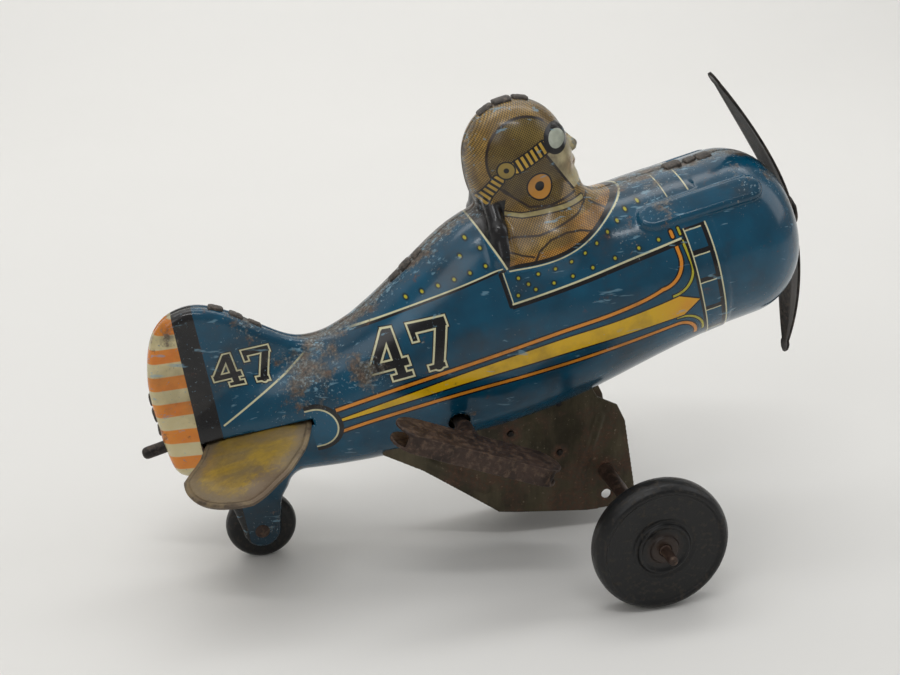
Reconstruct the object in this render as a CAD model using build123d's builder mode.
from build123d import *
import math
import os

os.makedirs("parts", exist_ok=True)

# A tin clockwork aeroplane.  +X is forward, +Y is the aeroplane's left, +Z is up, and the
# origin is on the ground under the middle of its box.  The fuselage sits nose-up, so it is
# drawn in its own axes: u runs forward along the propeller shaft, v runs up from it.

# ---- Fuselage axes ----
nose_up = 15.0
datum_x = 51.8
datum_z = 70.3
forward = Vector(math.cos(math.radians(nose_up)), 0, math.sin(math.radians(nose_up)))
upward = Vector(-math.sin(math.radians(nose_up)), 0, math.cos(math.radians(nose_up)))
side_plane = Plane(origin=(datum_x, 0, datum_z), x_dir=forward, z_dir=(0, -1, 0))

# ---- Fuselage halves: u, half width, crown, waist (widest level) and keel of each section ----
tin = 0.5
sections = [
    (-133.0, 2.2, -1.0, -6.5, -11.0),
    (-118.0, 6.2, 4.0, -7.0, -16.5),
    (-100.0, 10.4, 8.0, -7.5, -21.5),
    (-84.0, 13.4, 12.0, -6.5, -24.3),
    (-66.0, 16.4, 20.5, -5.0, -26.0),
    (-50.0, 18.6, 27.0, -3.5, -26.6),
    (-34.0, 19.8, 25.0, -2.0, -25.4),
    (-20.0, 20.5, 21.8, -0.8, -23.2),
    (-8.0, 20.8, 21.2, -0.3, -21.5),
    (0.0, 20.8, 20.8, 0.0, -20.8),
]
cowl_radius = 20.8
cowl_straight = 11.0
nose_u = 26.0

# ---- Pilot's head: level v, centre u, half depth and half width of each section ----
head_levels = [
    (14.0, -34.0, 14.0, 12.5),
    (22.0, -34.0, 13.6, 12.0),
    (28.0, -35.2, 12.4, 10.2),
    (35.0, -35.0, 12.4, 10.0),
    (41.0, -34.8, 11.8, 9.4),
    (45.5, -35.2, 8.4, 7.0),
    (48.4, -35.3, 4.6, 4.0),
    (49.3, -35.3, 1.6, 1.4),
]

# ---- Fin, tailplane and tail wheel ----
fin_half_thickness = 2.3
tailplane_v = -8.0
tailplane_thickness = 1.2
tailplane_semi_span = 32.0
tail_axle = (-57.1, 8.65)
tail_wheel_radius = 8.65
tail_wheel_width = 5.0
tail_axle_radius = 1.1
fork_inner = 3.3
fork_top = (-58.5, 24.5)
fork_top_radius = 6.6
fork_end_radius = 3.8

# ---- Running gear ----
front_axle_centre = Vector(29.1, 16.0)
wheel_radius = 16.0
wheel_width = 6.9
wheel_mid_y = 45.5
wheel_hub_radius = 6.3
axle_radius = 1.4
axle_end_radius = 1.15
axle_half_length = 54.0
sleeve_radius = 1.8
running = 0.05

# ---- Clockwork motor ----
plate_inner_y = 8.0
plate_thickness = 0.8
plate_outer_y = plate_inner_y + plate_thickness
sight_hole = (29.7, 8.9)
sight_hole_radius = 1.3
pillar_places = [(-24.8, 43.0), (8.0, 51.0), (-0.5, 12.5)]
pillar_radius = 1.7
module = 0.7
addendum = 0.75 * module
dedendum = 1.05 * module
backlash = 0.28
pinion_teeth = 9
escape_pinion_teeth = 8
great_teeth = 36
second_teeth = 32
third_teeth = 30
train_lean = -28.2
escape_lean = 92.0
arbor_radius = 1.2
pallet_arbor_radius = 0.8
pivot_radius = 0.7
end_shake = 0.3
winding_radius = 1.6

# ---- Winding key ----
key_tilt = -22.4
key_half_length = 20.3
key_lobe_radius = 5.25
key_inner_y = 25.2
key_thickness = 4.4
key_wall = 0.7

# ---- Propeller and brake rod ----
blade_length = 38.5
blade_bends = [18.0, 11.0]
blade_half_chord = 5.2
blade_thickness = 0.6
propeller_u = 28.8
hub_behind = 0.3
hub_ahead = 1.3
propeller_shaft_radius = 1.0
shaft_rear_u = 14.0
bearing_radius = 2.2
bearing_flange_radius = 3.6
bearing_flange = 0.6
bearing_behind = 6.0
collar_radius = 2.6
collar_rear_u = nose_u - 9.0
hub_radius = 4.2
brake_v = -3.0
brake_radius = 1.5
brake_rear_u = -140.6
brake_front_u = -85.5


def save(part, label):
    """Label one finished piece and write its STEP file."""
    part.label = label
    export_step(part, f"parts/{label}.step")


def at(u, v):
    """A point of the centre plane, from the fuselage axes."""
    return Vector(datum_x, 0, datum_z) + forward * u + upward * v


def station(u, v=0.0):
    """A plane across the fuselage: its x is +Y and its y is v."""
    return Plane(origin=at(u, v), x_dir=(0, 1, 0), z_dir=forward)


def level(v):
    """A plane parallel to the shaft line at height v: its x is u and its y is +Y."""
    return Plane(origin=at(0, v), x_dir=forward, z_dir=upward)


def across(centre, y):
    """A plane facing -Y at this y, centred on an (x, z) point."""
    x, z, _ = Vector(centre)
    return Plane(origin=(x, y, z), x_dir=(1, 0, 0), z_dir=(0, -1, 0))


def toothed_disc(teeth, phase):
    """Draw a wheel with trapezoid teeth in the sketch in progress, one tooth at angle phase."""
    pitch_radius = module * teeth / 2
    half_tooth = (math.pi * module / 2 - backlash) / 2
    Circle(pitch_radius - dedendum)
    with PolarLocations(pitch_radius, teeth, start_angle=phase):
        Polygon(
            (-dedendum - 0.2, -1.35 * half_tooth),
            (0, -half_tooth),
            (addendum, -0.45 * half_tooth),
            (addendum, 0.45 * half_tooth),
            (0, half_tooth),
            (-dedendum - 0.2, 1.35 * half_tooth),
            align=None,
        )


def meshing_phase(teeth, phase, other_teeth, direction):
    """The phase in degrees at which a wheel meshes with one that lies back along direction."""
    other_fraction = other_teeth * (direction - phase) / 360
    return direction + 180 - (0.5 - other_fraction) * 360 / teeth


def spacing(teeth_a, teeth_b):
    """The distance between the arbors of two meshing wheels."""
    return module * (teeth_a + teeth_b) / 2


# ---- Arbor places: the train runs back and up from the front axle ----
train_back = 180 + train_lean
back = Vector(math.cos(math.radians(train_back)), math.sin(math.radians(train_back)))
third_centre = front_axle_centre + back * spacing(third_teeth, pinion_teeth)
second_centre = third_centre + back * spacing(second_teeth, pinion_teeth)
great_centre = second_centre + back * spacing(great_teeth, pinion_teeth)
escape_up = Vector(math.cos(math.radians(escape_lean)), math.sin(math.radians(escape_lean)))
escape_centre = third_centre + escape_up * spacing(third_teeth, escape_pinion_teeth)
escape_radius = 5.0
pallet_centre = escape_centre + Vector(-2.0, 9.6)

# Each wheel's layer is the y of its left face; it is cut towards -Y.
great_y = -5.3
second_y = -3.1
third_y = -0.9
escape_y = 2.3
ratchet_y = -7.05
wheel_thickness = 1.3
pinion_thickness = 1.9


# ---- Fuselage shell ----
def hull(wall):
    """The fuselage, fin and pilot as one solid, every face moved in by wall."""
    with BuildPart() as solid:
        for u, half_width, crown, waist, keel in sections:
            rear_cap = wall if u == sections[0][0] else 0.0
            reach = half_width - wall
            rise = crown - waist - wall
            drop = waist - keel - wall
            with BuildSketch(station(u + rear_cap)):
                with BuildLine():
                    EllipticalCenterArc((0, waist), reach, rise, start_angle=0, arc_size=180)
                    EllipticalCenterArc((0, waist), reach, drop, start_angle=180, arc_size=180)
                make_face()
        loft()
        with BuildSketch(side_plane):
            with BuildLine():
                Polyline((0, 0), (0, cowl_radius - wall), (cowl_straight, cowl_radius - wall))
                ThreePointArc(
                    (cowl_straight, cowl_radius - wall),
                    (20.7 - 0.7 * wall, 16.6 - 0.7 * wall),
                    (24.9 - wall, 8.0),
                )
                ThreePointArc((24.9 - wall, 8.0), (nose_u - 0.25 - wall, 4.0), (nose_u - wall, 0))
                Line((nose_u - wall, 0), (0, 0))
            make_face()
        revolve(axis=Axis(at(0, 0), forward))
        with BuildSketch(side_plane):
            with BuildLine():
                ThreePointArc(
                    (-133.9 + wall, 6.0), (-130.4 + 0.9 * wall, 20.0 - 0.4 * wall), (-121.4, 27.6 - wall)
                )
                ThreePointArc(
                    (-121.4, 27.6 - wall), (-111.6, 25.0 - wall), (-104.0 - 0.7 * wall, 17.6 - 0.7 * wall)
                )
                ThreePointArc(
                    (-104.0 - 0.7 * wall, 17.6 - 0.7 * wall), (-97.0, 12.0 - wall), (-86.0, 10.4 - wall)
                )
                Polyline((-86.0, 10.4 - wall), (-86.0, 4.0), (-112.0, -6.0))
                Polyline((-112.0, -6.0), (-133.4 + wall, -10.5), (-133.9 + wall, 6.0))
            make_face()
        extrude(amount=fin_half_thickness - wall, both=True)
        for v, centre_u, half_depth, half_width in head_levels:
            crown_cap = wall if v == head_levels[-1][0] else 0.0
            with BuildSketch(level(v - crown_cap)):
                with Locations((centre_u, 0)):
                    Ellipse(half_depth - wall, half_width - wall)
        loft()
    return solid.part


key_hole_radius = 2.7
slot_rear_u = -88.0
slot_front_u = -32.0
with BuildPart() as shell:
    add(hull(0.0))
    add(hull(tin), mode=Mode.SUBTRACT)
    with BuildSketch(side_plane):
        with Locations(((slot_rear_u + slot_front_u) / 2, -30)):
            Rectangle(slot_front_u - slot_rear_u, 32)
    extrude(amount=plate_outer_y, both=True, mode=Mode.SUBTRACT)
    with BuildSketch(level(tailplane_v)):
        with Locations((-115.8, 0)):
            Rectangle(31.2, 40)
    extrude(amount=tailplane_thickness / 2 + 0.1, both=True, mode=Mode.SUBTRACT)
    with BuildSketch(station(nose_u - bearing_behind)):
        Circle(bearing_radius)
    extrude(amount=20, mode=Mode.SUBTRACT)
    with BuildSketch(station(-136, brake_v)):
        Circle(brake_radius + running)
    extrude(amount=12, mode=Mode.SUBTRACT)

for side, keep, sign in (("right", Keep.TOP, -1), ("left", Keep.BOTTOM, 1)):
    with BuildPart() as fuselage_half:
        add(shell.part)
        split(bisect_by=Plane.XZ, keep=keep)
        cheek_y = fork_inner if sign > 0 else -fork_inner - tin
        with BuildSketch(across((0, 0), cheek_y + tin)):
            with Locations(fork_top):
                Circle(fork_top_radius)
            with Locations(tail_axle):
                Circle(fork_end_radius)
            make_hull()
            with Locations(tail_axle):
                Circle(tail_axle_radius, mode=Mode.SUBTRACT)
        extrude(amount=tin)
        if side == "right":
            with BuildSketch(across(great_centre, -plate_outer_y)):
                Circle(key_hole_radius)
            extrude(amount=20, mode=Mode.SUBTRACT)
    save(fuselage_half.part, f"fuselage_{side}")

# ---- Tailplane: one sheet that passes through both halves ----
with BuildPart() as tailplane:
    with BuildSketch(level(tailplane_v)):
        with BuildLine():
            Line((-100.6, 0), (-100.6, 10))
            ThreePointArc((-100.6, 10), (-106.4, 23), (-118, tailplane_semi_span))
            ThreePointArc((-118, tailplane_semi_span), (-127.8, 27.4), (-132.2, 15))
            Polyline((-132.2, 15), (-131.0, 6), (-131.0, 0))
            mirror(about=Plane.XZ)
        make_face()
    extrude(amount=tailplane_thickness / 2, both=True)
save(tailplane.part, "tailplane")

# ---- Motor plates ----
for side, y in (("right", -plate_inner_y), ("left", plate_outer_y)):
    with BuildPart() as motor_plate:
        with BuildSketch(across((0, 0), y)):
            with BuildLine():
                Polyline(
                    (36.6, 5.6), (37.2, 10.2), (34.1, 29.0), (31.9, 33.6), (26.6, 36.4),
                    (23.5, 42.0), (17.0, 55.0), (-26.5, 45.0), (-27.4, 27.6), (-17.5, 21.9),
                    (-6.7, 13.9), (3.0, 6.6), (8.0, 4.6), (36.6, 5.6),
                )
            make_face()
            with Locations(front_axle_centre):
                Circle(axle_radius + running, mode=Mode.SUBTRACT)
            with Locations(second_centre, third_centre, escape_centre, pallet_centre):
                Circle(pivot_radius + running, mode=Mode.SUBTRACT)
            with Locations(great_centre):
                Circle(winding_radius + running, mode=Mode.SUBTRACT)
            with Locations(sight_hole):
                Circle(sight_hole_radius, mode=Mode.SUBTRACT)
        extrude(amount=plate_thickness)
    save(motor_plate.part, f"motor_plate_{side}")

with BuildPart() as plate_pillars:
    with BuildSketch(across((0, 0), plate_inner_y)):
        with Locations(*pillar_places):
            Circle(pillar_radius)
    extrude(amount=2 * plate_inner_y)
save(plate_pillars.part, "plate_pillars")

# ---- Wheels of the train ----
great_phase = 0.0
second_pinion_phase = meshing_phase(pinion_teeth, great_phase, great_teeth, train_back + 180)
second_phase = 0.0
third_pinion_phase = meshing_phase(pinion_teeth, second_phase, second_teeth, train_back + 180)
third_phase = 0.0
axle_pinion_phase = meshing_phase(pinion_teeth, third_phase, third_teeth, train_back + 180)
escape_pinion_phase = meshing_phase(escape_pinion_teeth, third_phase, third_teeth, escape_lean)

click_pivot_offset = Vector(0.6, 9.6)
click_tip_offset = Vector(5.4, 5.6)
click_pivot_radius = 0.6
click_centre = great_centre + click_pivot_offset
with BuildPart() as great_wheel:
    with BuildSketch(across(great_centre, great_y)):
        toothed_disc(great_teeth, great_phase)
        Circle(winding_radius + running, mode=Mode.SUBTRACT)
    extrude(amount=wheel_thickness)
    with BuildSketch(across(click_centre, great_y - wheel_thickness)):
        Circle(click_pivot_radius)
    extrude(amount=1.2)
save(great_wheel.part, "great_wheel")

train = [
    ("second", second_centre, second_teeth, second_phase, second_y, great_y, second_pinion_phase),
    ("third", third_centre, third_teeth, third_phase, third_y, second_y, third_pinion_phase),
]
for name, centre, teeth, phase, wheel_y, pinion_y, pinion_phase in train:
    with BuildPart() as train_wheel:
        with BuildSketch(across(centre, wheel_y)):
            toothed_disc(teeth, phase)
            Circle(arbor_radius, mode=Mode.SUBTRACT)
            with PolarLocations(module * teeth / 4, 4, start_angle=45):
                Circle(module * teeth / 10, mode=Mode.SUBTRACT)
        extrude(amount=wheel_thickness)
    save(train_wheel.part, f"{name}_wheel")
    with BuildPart() as train_pinion:
        with BuildSketch(across(centre, pinion_y + 0.2)):
            toothed_disc(pinion_teeth, pinion_phase)
            Circle(arbor_radius, mode=Mode.SUBTRACT)
        extrude(amount=pinion_thickness - 0.2)
    save(train_pinion.part, f"{name}_pinion")

with BuildPart() as axle_pinion:
    with BuildSketch(across(front_axle_centre, third_y + 0.3)):
        toothed_disc(pinion_teeth, axle_pinion_phase)
        Circle(axle_radius, mode=Mode.SUBTRACT)
    extrude(amount=pinion_thickness)
save(axle_pinion.part, "axle_pinion")

with BuildPart() as escape_pinion:
    with BuildSketch(across(escape_centre, third_y + 0.3)):
        toothed_disc(escape_pinion_teeth, escape_pinion_phase)
        Circle(arbor_radius, mode=Mode.SUBTRACT)
    extrude(amount=pinion_thickness)
save(escape_pinion.part, "escape_pinion")

escape_points = 12
with BuildPart() as escape_wheel:
    with BuildSketch(across(escape_centre, escape_y)):
        Circle(escape_radius - 1.6)
        with PolarLocations(escape_radius - 1.8, escape_points):
            Polygon((0, -0.8), (1.8, -0.2), (1.8, 0.2), (0, 0.8), align=None)
        Circle(arbor_radius, mode=Mode.SUBTRACT)
    extrude(amount=1.0)
save(escape_wheel.part, "escape_wheel")

# Each arbor turns on a reduced pivot at both ends.
pivot_proud = 0.4
arbors = [
    ("second", second_centre, arbor_radius, pivot_proud),
    ("third", third_centre, arbor_radius, pivot_proud),
    ("escape", escape_centre, arbor_radius, 0.0),
    ("pallet", pallet_centre, pallet_arbor_radius, 0.0),
]
for name, centre, radius, proud in arbors:
    with BuildPart() as arbor:
        with BuildSketch(across(centre, plate_inner_y - end_shake)):
            Circle(radius)
        extrude(amount=2 * (plate_inner_y - end_shake))
        with BuildSketch(across(centre, plate_outer_y + proud)):
            Circle(pivot_radius)
        extrude(amount=2 * (plate_outer_y + proud))
    save(arbor.part, f"{name}_arbor")

# ---- Pallet: an anchor with two pins that straddle the escape wheel ----
pallet_pin_reach = escape_radius + 1.7
pallet_pins = [
    escape_centre + Vector(math.cos(math.radians(a)), math.sin(math.radians(a))) * pallet_pin_reach
    for a in (30, 128)
]
with BuildPart() as pallet:
    for pin in pallet_pins:
        with BuildSketch(across((0, 0), escape_y + 1.9)):
            with Locations(pallet_centre, pin):
                Circle(0.9)
            make_hull()
        extrude(amount=0.9)
    with BuildSketch(across(pallet_centre, escape_y + 1.9)):
        Circle(2.4)
    extrude(amount=0.9)
    with BuildSketch(across((0, 0), escape_y + 1.0)):
        with Locations(*pallet_pins):
            Circle(0.5)
    extrude(amount=2.2)
    with BuildSketch(across(pallet_centre, 0)):
        Circle(pallet_arbor_radius)
    extrude(amount=plate_outer_y + 0.4, both=True, mode=Mode.SUBTRACT)
save(pallet.part, "pallet")

# ---- Winding arbor, ratchet, click, mainspring and key ----
arbor_right_y = -33.0
key_collar_y = -17.5
with BuildPart() as winding_arbor:
    with BuildSketch(across(great_centre, plate_outer_y + 0.5)):
        Circle(winding_radius)
    extrude(amount=plate_outer_y + 0.5 - arbor_right_y)
save(winding_arbor.part, "winding_arbor")

ratchet_teeth = 12
ratchet_radius = 5.2
with BuildPart() as ratchet:
    with BuildSketch(across(great_centre, ratchet_y)):
        Circle(ratchet_radius - 0.9)
        with PolarLocations(ratchet_radius - 1.2, ratchet_teeth):
            Polygon((0, -1.1), (1.2, -1.0), (0.2, 1.1), (0, 1.1), align=None)
        Circle(winding_radius, mode=Mode.SUBTRACT)
    extrude(amount=0.8)
save(ratchet.part, "ratchet_wheel")

with BuildPart() as click:
    with BuildSketch(across(great_centre, ratchet_y)):
        with Locations(click_pivot_offset):
            Circle(1.5)
        with Locations(click_tip_offset):
            Circle(0.7)
        make_hull()
        with Locations(click_pivot_offset):
            Circle(click_pivot_radius + running, mode=Mode.SUBTRACT)
    extrude(amount=0.8)
save(click.part, "click")

spring_inner_radius = 3.2
spring_strip = 0.9
spring_pitch = 2.0
spring_turns = 4
spring_left_y = 7.2
spring_width = 7.0
with BuildPart() as mainspring:
    for turn in range(spring_turns):
        ring_inner = spring_inner_radius + turn * spring_pitch
        with BuildSketch(across(great_centre, spring_left_y)):
            Circle(ring_inner + spring_strip)
            Circle(ring_inner, mode=Mode.SUBTRACT)
        extrude(amount=spring_width)
        link_inner = winding_radius if turn == 0 else ring_inner - spring_pitch + spring_strip
        with BuildSketch(across(great_centre, spring_left_y)):
            with Locations((0, (link_inner + ring_inner) / 2)):
                Rectangle(spring_strip, ring_inner - link_inner + 0.2)
            Circle(winding_radius, mode=Mode.SUBTRACT)
        extrude(amount=spring_width)
save(mainspring.part, "mainspring")

# The bow is a folded sheet: two round lobes joined by a narrow waist at the arbor.
key_middle_y = -(key_inner_y + key_lobe_radius)
key_plane = Plane(
    origin=(great_centre.X, key_middle_y, great_centre.Y),
    x_dir=(math.cos(math.radians(key_tilt)), 0, math.sin(math.radians(key_tilt))),
    z_dir=(-math.sin(math.radians(key_tilt)), 0, math.cos(math.radians(key_tilt))),
)
key_lobe_x = key_half_length - key_lobe_radius
with BuildPart() as winding_key:
    with BuildSketch(key_plane):
        for lobe_side in (-1, 1):
            with Locations((lobe_side * key_lobe_x, 0), (lobe_side * 6.5, 0)):
                Circle(key_lobe_radius)
            make_hull()
    extrude(amount=key_thickness / 2, both=True)
    with BuildSketch(key_plane):
        with Locations((0, key_wall)):
            Rectangle(2 * key_half_length, 2 * key_lobe_radius - key_wall)
    extrude(amount=key_thickness / 2 - key_wall, both=True, mode=Mode.SUBTRACT)
    with BuildSketch(across(great_centre, key_collar_y)):
        Circle(2.2)
    extrude(amount=key_collar_y - arbor_right_y)
    with BuildSketch(across(great_centre, 0)):
        Circle(winding_radius)
    extrude(amount=-arbor_right_y, mode=Mode.SUBTRACT)
save(winding_key.part, "winding_key")

# ---- Front axle, sleeves and wheels ----
wheel_outer_y = wheel_mid_y + wheel_width / 2
with BuildPart() as front_axle:
    with BuildSketch(across(front_axle_centre, wheel_outer_y)):
        Circle(axle_radius)
    extrude(amount=2 * wheel_outer_y)
    for end_y in (axle_half_length, -wheel_outer_y):
        with BuildSketch(across(front_axle_centre, end_y)):
            Circle(axle_end_radius)
        extrude(amount=axle_half_length - wheel_outer_y)
save(front_axle.part, "front_axle")

wheel_inner_y = wheel_mid_y - wheel_width / 2
for side, sign in (("right", -1), ("left", 1)):
    with BuildPart() as sleeve:
        sleeve_start = plate_outer_y + 0.2
        with BuildSketch(across(front_axle_centre, -sleeve_start if sign < 0 else wheel_inner_y)):
            Circle(sleeve_radius)
            Circle(axle_radius, mode=Mode.SUBTRACT)
        extrude(amount=wheel_inner_y - sleeve_start)
    save(sleeve.part, f"axle_sleeve_{side}")

    wheel_axis = Axis((front_axle_centre.X, 0, front_axle_centre.Y), (0, 1, 0))
    with BuildPart() as front_wheel:
        with BuildSketch(Plane(
            origin=(front_axle_centre.X, sign * wheel_mid_y, front_axle_centre.Y),
            x_dir=(1, 0, 0), z_dir=(0, 0, sign),
        )):
            with BuildLine():
                Polyline(
                    (axle_radius, -3.45), (9.5, -3.45), (10.5, -2.9), (13.6, -2.9), (14.6, -3.3),
                )
                ThreePointArc((14.6, -3.3), (wheel_radius, 0), (14.6, 3.3))
                Polyline(
                    (14.6, 3.3), (13.6, 2.7), (7.4, 2.2), (wheel_hub_radius, 2.2),
                    (wheel_hub_radius - 0.6, 3.1), (3.4, 2.6), (3.2, 3.45),
                    (axle_radius, 3.45), (axle_radius, -3.45),
                )
            make_face()
        revolve(axis=wheel_axis)
    save(front_wheel.part, f"front_wheel_{side}")

# ---- Tail wheel and its rivet ----
with BuildPart() as tail_wheel:
    with BuildSketch(across(tail_axle, tail_wheel_width / 2)):
        Circle(tail_wheel_radius)
        Circle(tail_axle_radius + running, mode=Mode.SUBTRACT)
    extrude(amount=tail_wheel_width)
    fillet(tail_wheel.edges().filter_by(GeomType.CIRCLE).group_by(SortBy.RADIUS)[-1], 1.4)
save(tail_wheel.part, "tail_wheel")

with BuildPart() as tail_rivet:
    with BuildSketch(across(tail_axle, fork_inner + tin)):
        Circle(tail_axle_radius)
    extrude(amount=2 * (fork_inner + tin))
    for head_y in (fork_inner + tin + 0.9, -fork_inner - tin):
        with BuildSketch(across(tail_axle, head_y)):
            Circle(2.0)
        extrude(amount=0.9)
save(tail_rivet.part, "tail_rivet")

# ---- Propeller, its shaft and the nose bearing ----
with BuildPart() as nose_bearing:
    with BuildSketch(station(nose_u - bearing_behind)):
        Circle(bearing_radius)
        Circle(propeller_shaft_radius + running, mode=Mode.SUBTRACT)
    extrude(amount=propeller_u - hub_behind - 0.2 - nose_u + bearing_behind)
    with BuildSketch(station(nose_u)):
        Circle(bearing_flange_radius)
        Circle(propeller_shaft_radius + running, mode=Mode.SUBTRACT)
    extrude(amount=bearing_flange)
save(nose_bearing.part, "nose_bearing")

with BuildPart() as propeller:
    for sign, bend in zip((1, -1), blade_bends):
        lean = math.radians(bend)
        blade_plane = Plane(
            origin=at(propeller_u, 0),
            x_dir=(0, sign, 0),
            z_dir=forward * math.cos(lean) + upward * (sign * math.sin(lean)),
        )
        with BuildSketch(blade_plane):
            with BuildLine():
                Line((-2.6, 0), (2.6, 0))
                ThreePointArc((2.6, 0), (blade_half_chord, 0.55 * blade_length), (1.6, blade_length - 1))
                ThreePointArc((1.6, blade_length - 1), (0, blade_length), (-1.6, blade_length - 1))
                ThreePointArc((-1.6, blade_length - 1), (-blade_half_chord, 0.55 * blade_length), (-2.6, 0))
            make_face()
        extrude(amount=blade_thickness)
    with BuildSketch(station(propeller_u - hub_behind)):
        Circle(hub_radius)
    extrude(amount=hub_behind + hub_ahead)
    with BuildSketch(station(propeller_u - hub_behind - 2.0)):
        Circle(hub_radius)
    extrude(amount=2.0, mode=Mode.SUBTRACT)
    with BuildSketch(station(propeller_u - 2.0)):
        Circle(propeller_shaft_radius)
    extrude(amount=5.0, mode=Mode.SUBTRACT)
save(propeller.part, "propeller")

with BuildPart() as propeller_shaft:
    with BuildSketch(station(shaft_rear_u)):
        Circle(propeller_shaft_radius)
    extrude(amount=propeller_u + hub_ahead - shaft_rear_u)
    with BuildSketch(station(propeller_u + hub_ahead)):
        Circle(2.0)
    extrude(amount=0.9, taper=15)
save(propeller_shaft.part, "propeller_shaft")

with BuildPart() as shaft_collar:
    with BuildSketch(station(collar_rear_u)):
        Circle(collar_radius)
        Circle(propeller_shaft_radius, mode=Mode.SUBTRACT)
    extrude(amount=2.6)
save(shaft_collar.part, "shaft_collar")

# ---- Brake rod that slides through the tail ----
with BuildPart() as brake_rod:
    with BuildSketch(station(brake_rear_u, brake_v)):
        Circle(brake_radius)
    extrude(amount=brake_front_u - brake_rear_u)
    fillet(brake_rod.faces().sort_by(Axis(at(0, 0), forward))[0].edges(), 0.9)
save(brake_rod.part, "brake_rod")
